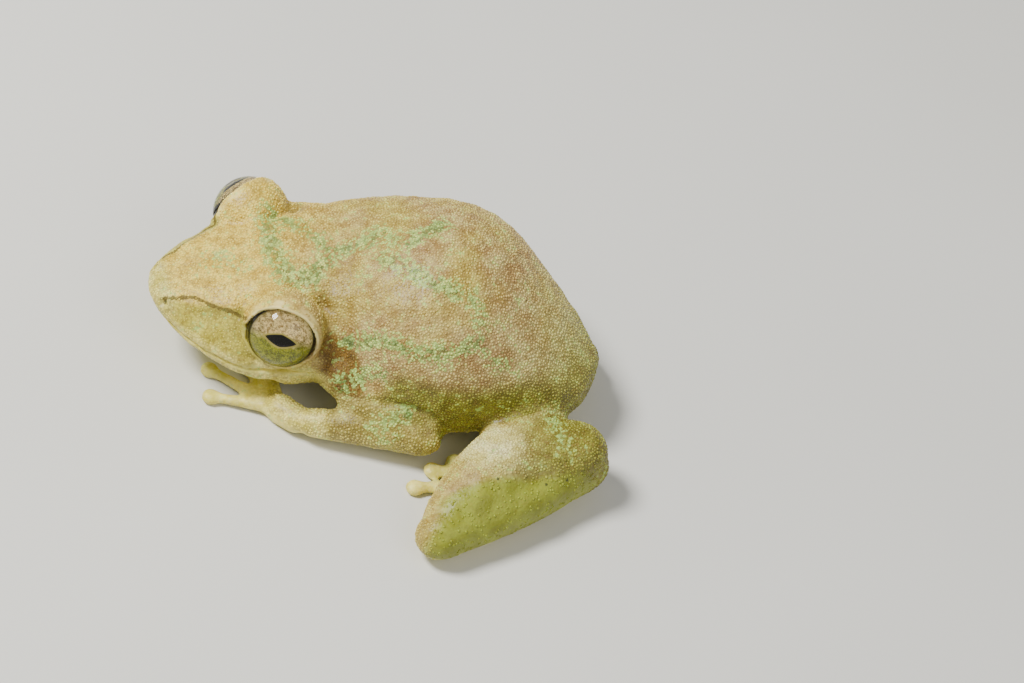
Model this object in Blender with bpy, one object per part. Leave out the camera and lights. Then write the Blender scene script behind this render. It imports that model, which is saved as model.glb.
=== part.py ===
"""A reed frog at rest, life size: crouched, limbs tucked in, head turned to its left.

The frog faces -X, its left side is -Y and it rests on z = 0. Sizes are in millimetres and MM
turns them into metres. Head and torso are one loft along a bent spine, parted at the neck.
"""

import math

import bmesh
import bpy
import numpy as np
from mathutils import Matrix, Vector

MM = 0.001
GAP = 0.3
FLOOR_DEPTH = 20.0

# Spine: distances run backwards from the line between the eyes
EYE_LINE = Vector((-8.35, -0.5, 5.4))
HEAD_YAW = math.radians(28.0)
HEAD_PITCH = math.radians(3.0)
RUMP_YAW = math.radians(-4.0)
NECK_BEND = (1.0, 8.0)
PITCH_EASE = (1.5, 6.5)
SNOUT_END = -6.25
NECK_CUT = 3.3
RUMP_END = 18.55

# Stations: distance behind the eye line, top, canthus (half width, height), side, under, bottom,
# with heights from the level of the eye centres
HEAD_STATIONS = (
    (-6.25, -1.45, 0.02, -1.46, 0.03, -1.50, 0.02, -1.54, -1.55),
    (-6.10, -1.05, 0.62, -1.14, 0.86, -1.50, 0.60, -1.86, -1.92),
    (-5.60, -0.72, 1.10, -0.84, 1.80, -1.62, 1.40, -2.22, -2.42),
    (-4.80, -0.36, 1.58, -0.46, 2.80, -1.86, 2.25, -2.62, -2.90),
    (-3.60, 0.08, 2.15, -0.08, 3.85, -2.15, 3.15, -3.02, -3.42),
    (-1.80, 0.72, 2.90, 0.42, 4.80, -2.40, 4.00, -3.45, -4.00),
    (0.00, 1.30, 3.20, 0.98, 5.15, -2.40, 4.30, -3.80, -4.40),
    (1.80, 1.62, 3.45, 1.15, 5.25, -2.05, 4.30, -4.10, -4.75),
)
TORSO_STATIONS = (
    (3.60, 2.05, 3.65, 1.30, 5.25, -1.50, 4.20, -4.30, -5.10),
    (6.00, 3.40, 4.00, 2.15, 5.85, -0.90, 4.65, -4.50, -5.80),
    (9.00, 4.45, 4.35, 2.95, 6.35, -0.50, 5.45, -4.40, -6.00),
    (11.80, 3.85, 4.15, 2.40, 6.05, -0.85, 5.30, -4.30, -6.00),
    (14.00, 2.35, 3.40, 1.20, 4.95, -1.25, 4.20, -4.10, -5.70),
    (16.10, 0.75, 2.55, -0.05, 3.70, -1.75, 2.80, -3.80, -4.70),
    (17.60, -0.60, 1.75, -1.05, 2.50, -2.05, 1.95, -3.20, -3.90),
    (18.35, -1.45, 0.95, -1.65, 1.30, -2.15, 1.00, -2.75, -3.10),
    (18.55, -2.10, 0.05, -2.15, 0.06, -2.20, 0.05, -2.25, -2.30),
)
RING_POINTS = 32
HEAD_RINGS = 21
TORSO_RINGS = 20

# Mouth: the gap between the upper lip and the lower jaw
MOUTH_CORNER = 1.6
MOUTH_HEIGHTS = ((-6.4, -1.78), (-4.8, -2.12), (-2.0, -2.52), (1.6, -2.35), (2.2, -2.2))

# Eyes
EYE_RADIUS = 1.95
EYE_PLACE = (-0.2, 4.15, -0.12)
EYE_FORWARD_TURN = math.radians(25.0)
EYE_UP_TURN = math.radians(18.0)
LID_THICKNESS = 0.38
LID_PLANE = 0.62
LID_UP_TURN = math.radians(2.0)

# Nostrils
NOSTRIL_RADIUS = 0.24
NOSTRIL_BEHIND = -5.62
NOSTRIL_ASIDE = 1.15
NOSTRIL_HEIGHT = -0.98

# Limbs: places of the joints, then radii along each length
SHOULDER = {"left": (-3.3, -3.8, 3.1), "right": (-4.2, 4.2, 3.2)}
ELBOW = {"left": (1.9, -5.3, 1.7), "right": (-0.1, 6.2, 1.6)}
WRIST = {"left": (-3.9, -6.1, 1.1), "right": (-5.0, 5.5, 1.1)}
HIP = {"left": (7.7, -3.1, 2.1), "right": (6.8, 2.7, 2.1)}
KNEE = {"left": (4.2, -11.1, 1.45), "right": (2.3, 8.2, 1.5)}
HEEL = {"left": (10.6, -4.0, 1.85), "right": (8.75, 3.4, 1.7)}
HAUNCH = {"left": (9.75, -4.1, 2.75), "right": (7.6, 3.2, 2.3)}
UPPER_ARM_RADII = (1.35, 1.1)
FOREARM_RADII = (1.05, 0.8)
THIGH_RADII = (1.7, 2.3, 1.4)
SHANK_RADII = (1.25, 1.55, 1.3)
HAUNCH_RADII = (1.6, 1.75)
HAUNCH_START = 0.45
DOME_ANGLES = (80.0, 55.0, 28.0)

# Hands and feet: wrist or heel, palm, direction and spread of the digits in degrees
HAND = {
    "left": ((-4.7, -5.9, 0.75), (-5.7, -5.4, 0.6), 150.0, 24.0),
    "right": ((-5.7, 5.2, 0.75), (-6.6, 4.6, 0.6), 212.0, -24.0),
}
FOOT = {
    "left": ((10.0, -4.3, 0.95), (7.2, -5.5, 0.7), 188.0, 15.0),
    "right": ((8.2, 3.8, 0.95), (5.7, 4.9, 0.7), 174.0, -14.0),
}
FINGER_LENGTHS = (2.7, 3.3, 4.2, 3.4)
TOE_LENGTHS = (2.3, 3.1, 4.1, 5.1, 4.3)
PALM_RADII = (0.8, 0.85)
DIGIT_RADII = (0.42, 0.34, 0.3)
DIGIT_HEIGHTS = (0.55, 0.42, 0.3)
DIGIT_ROOT = 0.25
DIGIT_BEND = 0.55
DISC_RADIUS = 0.56
DISC_FLATNESS = 0.62
DISC_HEIGHT = 0.28
WEB_REACH = 0.62
WEB_DIP = 0.6
WEB_THICKNESS = 0.5
WEB_HEIGHT = 0.33

# The order in which limb parts are made, each with the parts that it keeps clear of
LIMB_PARTS = (
    ("hand", ()),
    ("forearm", ("hand", "foot")),
    ("upper_arm", ("forearm", "hand")),
    ("foot", ()),
    ("shank", ("foot",)),
    ("thigh", ("shank", "foot")),
)
ARM = ("upper_arm", "forearm", "hand")
LEG = ("thigh", "shank", "foot")

COLOURS = {
    "skin": (0.52, 0.38, 0.17),
    "skin_pale": (0.62, 0.53, 0.28),
    "eye": (0.30, 0.26, 0.08),
}


def clear_scene():
    for obj in list(bpy.data.objects):
        bpy.data.objects.remove(obj)


def new_collection(name, hidden):
    collection = bpy.data.collections.new(name)
    bpy.context.scene.collection.children.link(collection)
    collection.hide_render = hidden
    return collection


def as_cutter(obj):
    obj.hide_render = True
    obj.display_type = "WIRE"


def principled(name, roughness):
    material = bpy.data.materials.new(name)
    material.use_nodes = True
    shader = material.node_tree.nodes["Principled BSDF"]
    shader.inputs["Base Color"].default_value = (*COLOURS[name], 1.0)
    shader.inputs["Roughness"].default_value = roughness
    shader.inputs["Metallic"].default_value = 0.0
    return material


def add_object(name, mesh, collection):
    obj = bpy.data.objects.new(name, mesh)
    collection.objects.link(obj)
    return obj


def ease(value, start, end):
    share = min(max((value - start) / (end - start), 0.0), 1.0)
    return share * share * (3.0 - 2.0 * share)


def hermite(rows, at):
    """The row of values at a distance, on a smooth curve through the rows."""
    rows = np.array(rows, float)
    places = rows[:, 0]
    values = rows[:, 1:]
    slopes = np.gradient(values, places, axis=0)
    index = int(np.clip(np.searchsorted(places, at) - 1, 0, len(places) - 2))
    span = places[index + 1] - places[index]
    t = float(np.clip((at - places[index]) / span, 0.0, 1.0))
    weights = (
        2 * t**3 - 3 * t**2 + 1,
        (t**3 - 2 * t**2 + t) * span,
        3 * t**2 - 2 * t**3,
        (t**3 - t**2) * span,
    )
    return (
        weights[0] * values[index]
        + weights[1] * slopes[index]
        + weights[2] * values[index + 1]
        + weights[3] * slopes[index + 1]
    )


def spine_frame(behind):
    """Matrix of the cross-section plane: local X runs backwards, Y to the frog's right, Z up."""
    steps = 60
    place = EYE_LINE.copy()
    step = behind / steps
    for i in range(steps):
        yaw = heading_angle((i + 0.5) * step)
        place += Vector((math.cos(yaw), math.sin(yaw), 0.0)) * step
    pitch = HEAD_PITCH * (1.0 - ease(behind, *PITCH_EASE))
    place.z -= math.sin(pitch) * behind
    turn = Matrix.Rotation(heading_angle(behind), 4, "Z") @ Matrix.Rotation(pitch, 4, "Y")
    return Matrix.Translation(place) @ turn


def heading_angle(behind):
    return HEAD_YAW + (RUMP_YAW - HEAD_YAW) * ease(behind, *NECK_BEND)


def section(behind):
    """One closed cross-section through the eight points that its station names."""
    top, canthus, canthus_z, side, side_z, under, under_z, bottom = hermite(
        HEAD_STATIONS + TORSO_STATIONS, behind
    )
    half = ((canthus, canthus_z), (side, side_z), (under, under_z))
    keys = [(0.0, top), *half, (0.0, bottom), *((-y, z) for y, z in reversed(half))]
    keys = np.array(keys)
    points = []
    for i in range(RING_POINTS):
        place = i * len(keys) / RING_POINTS
        k = int(place)
        t = place - k
        a, b, c, d = (keys[(k + j) % len(keys)] for j in (-1, 0, 1, 2))
        points.append(
            0.5 * (2 * b + (c - a) * t + (2 * a - 5 * b + 4 * c - d) * t**2
                   + (3 * b - a - 3 * c + d) * t**3)
        )
    frame = spine_frame(behind)
    return [frame @ Vector((0.0, y, z)) for y, z in points]


def body_loft(name, start, end, rings, collection):
    """The body's own surface between two distances along the spine, closed at both ends."""
    shares = [0.5 - 0.5 * math.cos(math.pi * i / (rings - 1)) for i in range(rings)]
    mesh = bmesh.new()
    loops = []
    for share in shares:
        ring = section(start + (end - start) * share)
        loops.append([mesh.verts.new(p * MM) for p in ring])
    for near, far in zip(loops, loops[1:]):
        for i in range(RING_POINTS):
            j = (i + 1) % RING_POINTS
            mesh.faces.new((near[i], near[j], far[j], far[i]))
    mesh.faces.new(reversed(loops[0]))
    mesh.faces.new(loops[-1])
    bmesh.ops.triangulate(mesh, faces=mesh.faces)
    bmesh.ops.recalc_face_normals(mesh, faces=mesh.faces)
    data = bpy.data.meshes.new(name)
    mesh.to_mesh(data)
    mesh.free()
    return add_object(name, data, collection)


def ball(name, centre, radius, collection, segments=20, rings=12, flat=1.0):
    mesh = bmesh.new()
    bmesh.ops.create_uvsphere(mesh, u_segments=segments, v_segments=rings, radius=radius * MM)
    bmesh.ops.scale(mesh, vec=(1.0, 1.0, flat), verts=mesh.verts)
    bmesh.ops.translate(mesh, vec=Vector(centre) * MM, verts=mesh.verts)
    data = bpy.data.meshes.new(name)
    mesh.to_mesh(data)
    mesh.free()
    return add_object(name, data, collection)


def slab(name, frame, size, collection):
    """A box of the given size whose near face is centred on the frame's origin, along local X."""
    mesh = bmesh.new()
    bmesh.ops.create_cube(mesh, size=1.0)
    bmesh.ops.scale(mesh, vec=Vector(size) * MM, verts=mesh.verts)
    bmesh.ops.translate(mesh, vec=(size[0] * MM / 2, 0.0, 0.0), verts=mesh.verts)
    placed = frame.copy()
    placed.translation = frame.translation * MM
    bmesh.ops.transform(mesh, matrix=placed, verts=mesh.verts)
    data = bpy.data.meshes.new(name)
    mesh.to_mesh(data)
    mesh.free()
    return add_object(name, data, collection)


def dome(row, out):
    """Rings that close the end of a length, from its tip inwards: (place, radius) pairs."""
    place, radius = Vector(row[:3]), row[3]
    angles = [math.radians(angle) for angle in DOME_ANGLES]
    return [(place + out * radius * math.sin(a), radius * math.cos(a)) for a in angles]


def limb(name, joints, radii, collection, grow=0.0, sides=12, rings=9):
    """A tapered round length with domed ends through its joints, thicker all round by grow."""
    joints = [Vector(j) for j in joints]
    spread = [0.0]
    for a, b in zip(joints, joints[1:]):
        spread.append(spread[-1] + (b - a).length)
    rows = [(s, *joint, radius + grow) for s, joint, radius in zip(spread, joints, radii)]
    start, end = hermite(rows, 0.0), hermite(rows, spread[-1])
    inner = [hermite(rows, spread[-1] * i / (rings - 1)) for i in range(rings)]
    inner = [(Vector(v[:3]), v[3]) for v in inner]
    out_start = (inner[0][0] - inner[1][0]).normalized()
    out_end = (inner[-1][0] - inner[-2][0]).normalized()
    course = dome(start, out_start) + inner + dome(end, out_end)[::-1]
    curve = bpy.data.curves.new(name, "CURVE")
    curve.dimensions = "3D"
    curve.bevel_depth = MM
    curve.bevel_resolution = (sides - 4) // 2
    curve.use_fill_caps = True
    spline = curve.splines.new("POLY")
    spline.points.add(len(course) - 1)
    for point, (place, radius) in zip(spline.points, course):
        point.co = (*(place * MM), 1.0)
        point.radius = radius
    guide = add_object(name + "_curve", curve, collection)
    data = mesh_of(guide)
    bpy.data.objects.remove(guide)
    return add_object(name, data, collection)


def mesh_of(obj):
    """The evaluated mesh of an object, its loose caps welded."""
    bpy.context.view_layer.update()
    graph = bpy.context.evaluated_depsgraph_get()
    data = bpy.data.meshes.new_from_object(obj.evaluated_get(graph))
    mesh = bmesh.new()
    mesh.from_mesh(data)
    bmesh.ops.remove_doubles(mesh, verts=mesh.verts, dist=1e-6)
    bmesh.ops.triangulate(mesh, faces=mesh.faces)
    bmesh.ops.recalc_face_normals(mesh, faces=mesh.faces)
    mesh.to_mesh(data)
    mesh.free()
    return data


def combine(obj, pieces, operation):
    """One Boolean of the object with a collection of pieces, applied, then the pieces removed."""
    if not pieces:
        return
    group = bpy.data.collections.new(obj.name + "_" + operation.lower())
    bpy.context.scene.collection.children.link(group)
    for piece in pieces:
        for holder in list(piece.users_collection):
            holder.objects.unlink(piece)
        group.objects.link(piece)
        as_cutter(piece)
    modifier = obj.modifiers.new(operation, "BOOLEAN")
    modifier.operation = operation
    modifier.operand_type = "COLLECTION"
    modifier.collection = group
    modifier.solver = "EXACT"
    data = mesh_of(obj)
    obj.modifiers.clear()
    obj.data = data
    for piece in list(group.objects):
        bpy.data.objects.remove(piece)
    bpy.data.collections.remove(group)
    keep_largest(obj)


def keep_largest(obj):
    """Leaves only the largest closed surface of the object."""
    mesh = bmesh.new()
    mesh.from_mesh(obj.data)
    unseen = set(mesh.faces)
    groups = []
    while unseen:
        stack = [unseen.pop()]
        group = set(stack)
        while stack:
            face = stack.pop()
            for edge in face.edges:
                for other in edge.link_faces:
                    if other in unseen:
                        unseen.discard(other)
                        group.add(other)
                        stack.append(other)
        groups.append(group)
    largest = max(groups, key=lambda faces: sum(f.calc_area() for f in faces))
    extra = [face for group in groups if group is not largest for face in group]
    bmesh.ops.delete(mesh, geom=extra, context="FACES")
    mesh.to_mesh(obj.data)
    mesh.free()


def head_point(behind, aside, height):
    """A place in the head: behind the eye line, to the frog's right, above the eye centres."""
    return spine_frame(0.0) @ Vector((behind, aside, height))


def mouth_block(name, lift, corner, collection):
    """All of the head below the mouth line, with the line lifted by half the gap or lowered."""
    mesh = bmesh.new()
    front, back = MOUTH_HEIGHTS[0][0] - 1.0, corner
    steps = 14
    line = []
    for i in range(steps + 1):
        behind = front + (back - front) * i / steps
        line.append((behind, float(hermite(MOUTH_HEIGHTS, behind)[0]) + lift))
    outline = [*line, (back, -9.0), (front, -9.0)]
    faces = []
    for aside in (-9.0, 9.0):
        faces.append([mesh.verts.new(head_point(b, aside, h) * MM) for b, h in outline])
    count = len(outline)
    for i in range(count):
        j = (i + 1) % count
        mesh.faces.new((faces[0][i], faces[0][j], faces[1][j], faces[1][i]))
    mesh.faces.new(reversed(faces[0]))
    mesh.faces.new(faces[1])
    bmesh.ops.recalc_face_normals(mesh, faces=mesh.faces)
    data = bpy.data.meshes.new(name)
    mesh.to_mesh(data)
    mesh.free()
    return add_object(name, data, collection)


def eye_frame(side, up_turn):
    """Matrix at an eye's centre whose local X points out along the line of sight."""
    sign = -1.0 if side == "left" else 1.0
    head = spine_frame(0.0)
    behind, aside, above = EYE_PLACE
    place = Matrix.Translation((behind, sign * aside, above))
    turn = Matrix.Rotation(sign * (math.pi / 2 + EYE_FORWARD_TURN), 4, "Z")
    lift = Matrix.Rotation(-up_turn, 4, "Y")
    return head @ place @ turn @ lift


def lid(side, collection):
    """The raised cover of one eye, open where the eyeball looks out."""
    frame = eye_frame(side, EYE_UP_TURN)
    radius = EYE_RADIUS + GAP + LID_THICKNESS
    cover = ball("lid_" + side, frame.translation, radius, collection, 28, 18)
    opening = eye_frame(side, LID_UP_TURN)
    opening = opening @ Matrix.Translation((LID_PLANE, 0.0, 0.0))
    combine(cover, [slab("lid_opening", opening, (6.0, 9.0, 9.0), collection)], "DIFFERENCE")
    return cover


def digits(place, lengths, webbed, collection, grow):
    """Palm and digits that lie on the floor, each ending in a round disc, the toes webbed."""
    wrist, palm, direction, spread = place
    pieces = [limb("palm", (wrist, palm), PALM_RADII, collection, grow, 10, 4)]
    middle = (len(lengths) - 1) / 2
    rim = []
    for i, length in enumerate(lengths):
        out = flat_direction(direction + spread * (i - middle))
        root = Vector(palm) + out * DIGIT_ROOT
        course = [root, root + out * length * DIGIT_BEND, root + out * length]
        for point, height in zip(course, DIGIT_HEIGHTS):
            point.z = height
        pieces.append(limb("digit", course, DIGIT_RADII, collection, grow, 6, 5))
        centre = (course[-1].x, course[-1].y, DISC_HEIGHT)
        disc_radius = DISC_RADIUS + grow
        pieces.append(ball("disc", centre, disc_radius, collection, 10, 6, DISC_FLATNESS))
        rim.append(root + out * (length * WEB_REACH + grow))
        if i + 1 < len(lengths):
            between = flat_direction(direction + spread * (i + 0.5 - middle))
            reach = min(length, lengths[i + 1]) * WEB_REACH * WEB_DIP
            rim.append(root + between * (reach + grow))
    if webbed:
        inner = Vector(palm) - flat_direction(direction) * grow
        pieces.append(web([inner, *rim], collection, grow))
    return pieces


def flat_direction(degrees):
    angle = math.radians(degrees)
    return Vector((math.cos(angle), math.sin(angle), 0.0))


def web(outline, collection, grow):
    """The skin between the toes: a thin plate from the palm out to a scalloped rim."""
    curve = bpy.data.curves.new("web", "CURVE")
    curve.dimensions = "2D"
    curve.fill_mode = "BOTH"
    curve.extrude = (WEB_THICKNESS / 2 + grow) * MM
    spline = curve.splines.new("POLY")
    spline.points.add(len(outline) - 1)
    for point, place in zip(spline.points, outline):
        point.co = (place.x * MM, place.y * MM, 0.0, 1.0)
    spline.use_cyclic_u = True
    guide = add_object("web_curve", curve, collection)
    data = mesh_of(guide)
    data.transform(Matrix.Translation((0.0, 0.0, WEB_HEIGHT * MM)))
    bpy.data.objects.remove(guide)
    return add_object("web", data, collection)


def limb_pieces(part, side, collection, grow):
    """The overlapping pieces that one limb part is made of, thicker all round by grow."""
    if part == "hand":
        return digits(HAND[side], FINGER_LENGTHS, False, collection, grow)
    if part == "foot":
        return digits(FOOT[side], TOE_LENGTHS, True, collection, grow)
    ends, radii = {
        "forearm": ((ELBOW, WRIST), FOREARM_RADII),
        "upper_arm": ((SHOULDER, ELBOW), UPPER_ARM_RADII),
        "shank": ((HEEL, KNEE), SHANK_RADII),
        "thigh": ((HIP, KNEE), THIGH_RADII),
    }[part]
    start, end = (Vector(joint[side]) for joint in ends)
    joints = [start.lerp(end, i / (len(radii) - 1)) for i in range(len(radii))]
    pieces = [limb(part, joints, radii, collection, grow)]
    if part == "thigh":
        course = (start.lerp(end, HAUNCH_START), HAUNCH[side])
        pieces.append(limb("haunch", course, HAUNCH_RADII, collection, grow))
    return pieces


def build():
    clear_scene()
    frog = new_collection("reed_frog", False)
    cutters = new_collection("cutters", True)
    skin = principled("skin", 0.45)
    skin_pale = principled("skin_pale", 0.45)
    eye_material = principled("eye", 0.08)
    made = []

    def node(name, pieces, material):
        first, *others = pieces
        combine(first, others, "UNION")
        for holder in list(first.users_collection):
            holder.objects.unlink(first)
        frog.objects.link(first)
        first.name = name
        first.data.name = name
        first.data.materials.clear()
        first.data.materials.append(material)
        made.append(first)
        return first

    def grown(parts, side):
        return [piece for part in parts for piece in limb_pieces(part, side, cutters, GAP)]

    for side in ("left", "right"):
        for part, neighbours in LIMB_PARTS:
            material = skin_pale if part in ("hand", "foot") else skin
            obj = node(f"{part}_{side}", limb_pieces(part, side, cutters, 0.0), material)
            combine(obj, grown(neighbours, side), "DIFFERENCE")

    torso_loft = body_loft("torso", NECK_CUT + GAP / 2, RUMP_END, TORSO_RINGS, cutters)
    torso = node("torso", [torso_loft], skin)
    for side in ("left", "right"):
        combine(torso, grown(ARM, side), "DIFFERENCE")
        combine(torso, grown(LEG, side), "DIFFERENCE")

    head_loft = body_loft("head", SNOUT_END, NECK_CUT - GAP / 2, HEAD_RINGS, cutters)
    jaw_loft = body_loft("jaw", SNOUT_END, NECK_CUT - GAP / 2, HEAD_RINGS, cutters)
    lids = [lid(side, cutters) for side in ("left", "right")]
    head = node("head", [head_loft, *lids], skin)
    hollows = []
    for side in ("left", "right"):
        hollows += grown(ARM, side)
        centre = eye_frame(side, 0.0).translation
        node(f"eye_{side}", [ball("eye", centre, EYE_RADIUS, cutters, 22, 14)], eye_material)
        hollows.append(ball("socket", centre, EYE_RADIUS + GAP, cutters, 28, 18))
        aside = -NOSTRIL_ASIDE if side == "left" else NOSTRIL_ASIDE
        pit = head_point(NOSTRIL_BEHIND, aside, NOSTRIL_HEIGHT)
        hollows.append(ball("nostril", pit, NOSTRIL_RADIUS, cutters, 10, 6))
    combine(head, hollows, "DIFFERENCE")
    below_lip = mouth_block("below_lip", GAP / 2, MOUTH_CORNER + GAP / 2, cutters)
    combine(head, [below_lip], "DIFFERENCE")
    jaw = node("lower_jaw", [jaw_loft], skin_pale)
    jaw_space = mouth_block("jaw_space", -GAP / 2, MOUTH_CORNER - GAP / 2, cutters)
    combine(jaw, [jaw_space], "INTERSECT")
    for side in ("left", "right"):
        combine(jaw, grown(ARM, side), "DIFFERENCE")

    for obj in made:
        floor_frame = Matrix.Rotation(math.pi / 2, 4, "Y")
        floor = slab("floor", floor_frame, (FLOOR_DEPTH, 60.0, 60.0), cutters)
        combine(obj, [floor], "DIFFERENCE")
    centre_on_footprint(made)
    for obj in made:
        obj.data.shade_smooth()
        obj.data.set_sharp_from_angle(angle=math.radians(40.0))
        for polygon in obj.data.polygons:
            polygon.material_index = 0


def centre_on_footprint(objects):
    """Moves all the parts so that the origin is at the middle of the box, on the floor."""
    points = [v.co for obj in objects for v in obj.data.vertices]
    low = [min(p[i] for p in points) for i in range(3)]
    high = [max(p[i] for p in points) for i in range(3)]
    shift = Matrix.Translation((-(low[0] + high[0]) / 2, -(low[1] + high[1]) / 2, -low[2]))
    for obj in objects:
        obj.data.transform(shift)


build()
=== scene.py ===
"""A reed frog as a life-size museum model, crouched, with its limbs tucked in.

The sections follow the model as it is put together: the outlook and the floor, the skin, the
granules on it and the eyes. Places are worked out in millimetres and divided by MM at the end.
"""

import math

import bmesh
import bpy
import numpy as np
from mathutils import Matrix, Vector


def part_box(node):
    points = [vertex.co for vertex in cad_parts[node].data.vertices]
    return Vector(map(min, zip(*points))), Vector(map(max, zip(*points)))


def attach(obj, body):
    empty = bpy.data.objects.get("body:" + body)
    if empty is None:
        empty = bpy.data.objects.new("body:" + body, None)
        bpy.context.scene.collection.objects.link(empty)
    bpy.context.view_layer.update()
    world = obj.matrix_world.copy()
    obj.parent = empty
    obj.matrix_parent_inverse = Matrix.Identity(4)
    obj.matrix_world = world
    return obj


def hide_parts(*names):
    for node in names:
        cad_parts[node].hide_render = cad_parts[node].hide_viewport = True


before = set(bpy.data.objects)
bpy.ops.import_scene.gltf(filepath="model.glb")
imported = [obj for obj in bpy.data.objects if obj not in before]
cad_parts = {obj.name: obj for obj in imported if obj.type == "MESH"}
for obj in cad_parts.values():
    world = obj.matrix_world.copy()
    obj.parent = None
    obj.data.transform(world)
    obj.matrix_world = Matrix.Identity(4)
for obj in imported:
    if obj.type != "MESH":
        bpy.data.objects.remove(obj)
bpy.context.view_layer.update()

import openvdb
from mathutils import Matrix, Vector

MM = 1000.0


# The head's own axes. The eyeballs fix them: the line between the eyes runs across the head, and
# the muzzle points along the negative first axis. All places on the head are given in them, and
# those on one side of the body are turned over for the other by the sign of its side.

def middle_of(node):
    low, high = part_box(node)
    return (np.array(low) + np.array(high)) * MM / 2


SIDES = {"left": -1.0, "right": 1.0}
EYE_RADIUS = 1.95
EYES_FROM_ORIGIN = (-0.2, 0.0, -0.12)
HEAD_PITCH = math.radians(3.0)
eye_middles = {side: middle_of("eye_" + side) for side in SIDES}
across = eye_middles["right"] - eye_middles["left"]
head_yaw = math.atan2(-across[0], across[1])
head_turn = np.array(Matrix.Rotation(head_yaw, 3, "Z") @ Matrix.Rotation(HEAD_PITCH, 3, "Y"))
head_origin = (eye_middles["left"] + eye_middles["right"]) / 2 - head_turn @ EYES_FROM_ORIGIN


def in_head(points):
    """Places as (behind the head's origin, to the frog's right, above)."""
    return (points - head_origin) @ head_turn


# The outlook: a long lens, high on the frog's left, turned a little about its own axis. A small,
# strong light stands before the frog and a wide, weak one behind it, under an even, pale sky.

CAMERA_AZIMUTH = math.radians(-1.91)
CAMERA_ELEVATION = math.radians(46.24)
CAMERA_ROLL = math.radians(18.7)
LENS_MM = 90.0
SENSOR_MM = 36.0
FRAME_WIDTH_MM = 53.9
AIM_FROM_EYES = (8.35, 0.5, -0.2)
SLIDE_MM = (4.63, -1.57)
MODEL_MIDDLE = (0.0, 0.0, 0.004)
SKY_COLOUR = (0.89, 0.885, 0.865)
SKY_STRENGTH = 0.42


def add_object(name, data):
    made = bpy.data.objects.new(name, data)
    bpy.context.scene.collection.objects.link(made)
    return made


def place_camera():
    back = Vector((
        math.sin(CAMERA_AZIMUTH) * math.cos(CAMERA_ELEVATION),
        -math.cos(CAMERA_AZIMUTH) * math.cos(CAMERA_ELEVATION),
        math.sin(CAMERA_ELEVATION),
    ))
    level = Vector((math.cos(CAMERA_AZIMUTH), math.sin(CAMERA_AZIMUTH), 0.0))
    right = level * math.cos(CAMERA_ROLL) + back.cross(level) * math.sin(CAMERA_ROLL)
    up = back.cross(right)
    aim = Vector(head_origin) + Vector(AIM_FROM_EYES)
    place = aim + back * (LENS_MM / SENSOR_MM * FRAME_WIDTH_MM)
    place += right * SLIDE_MM[0] + up * SLIDE_MM[1]
    data = bpy.data.cameras.new("camera")
    data.lens = LENS_MM
    data.sensor_width = SENSOR_MM
    data.clip_start = 0.005
    data.clip_end = 5.0
    camera = add_object("camera", data)
    turn = Matrix((right, up, back)).transposed().to_4x4()
    camera.matrix_world = Matrix.Translation(place / MM) @ turn
    bpy.context.scene.camera = camera


place_camera()


def add_area_light(name, place, aim, size, power, colour):
    data = bpy.data.lights.new(name, "AREA")
    data.shape = "DISK"
    data.size = size
    data.energy = power
    data.color = colour
    light = add_object(name, data)
    direction = Vector(place) - Vector(aim)
    turn = direction.to_track_quat("Z", "Y").to_matrix().to_4x4()
    light.matrix_world = Matrix.Translation(Vector(place)) @ turn


add_area_light("key_light", (-0.13, -0.03, 0.20), MODEL_MIDDLE, 0.07, 0.95, (1.0, 0.98, 0.93))
add_area_light("fill_light", (0.16, -0.12, 0.20), MODEL_MIDDLE, 0.20, 0.22, (1.0, 0.985, 0.95))

world = bpy.data.worlds.new("studio")
world.use_nodes = True
world.node_tree.nodes["Background"].inputs["Color"].default_value = (*SKY_COLOUR, 1.0)
world.node_tree.nodes["Background"].inputs["Strength"].default_value = SKY_STRENGTH
bpy.context.scene.world = world


# Shader arithmetic, used by every material below. A material's values are sums of noise, cells
# and the marks on the mesh, and its colours are three numbers each, for red, green and blue.

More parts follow.
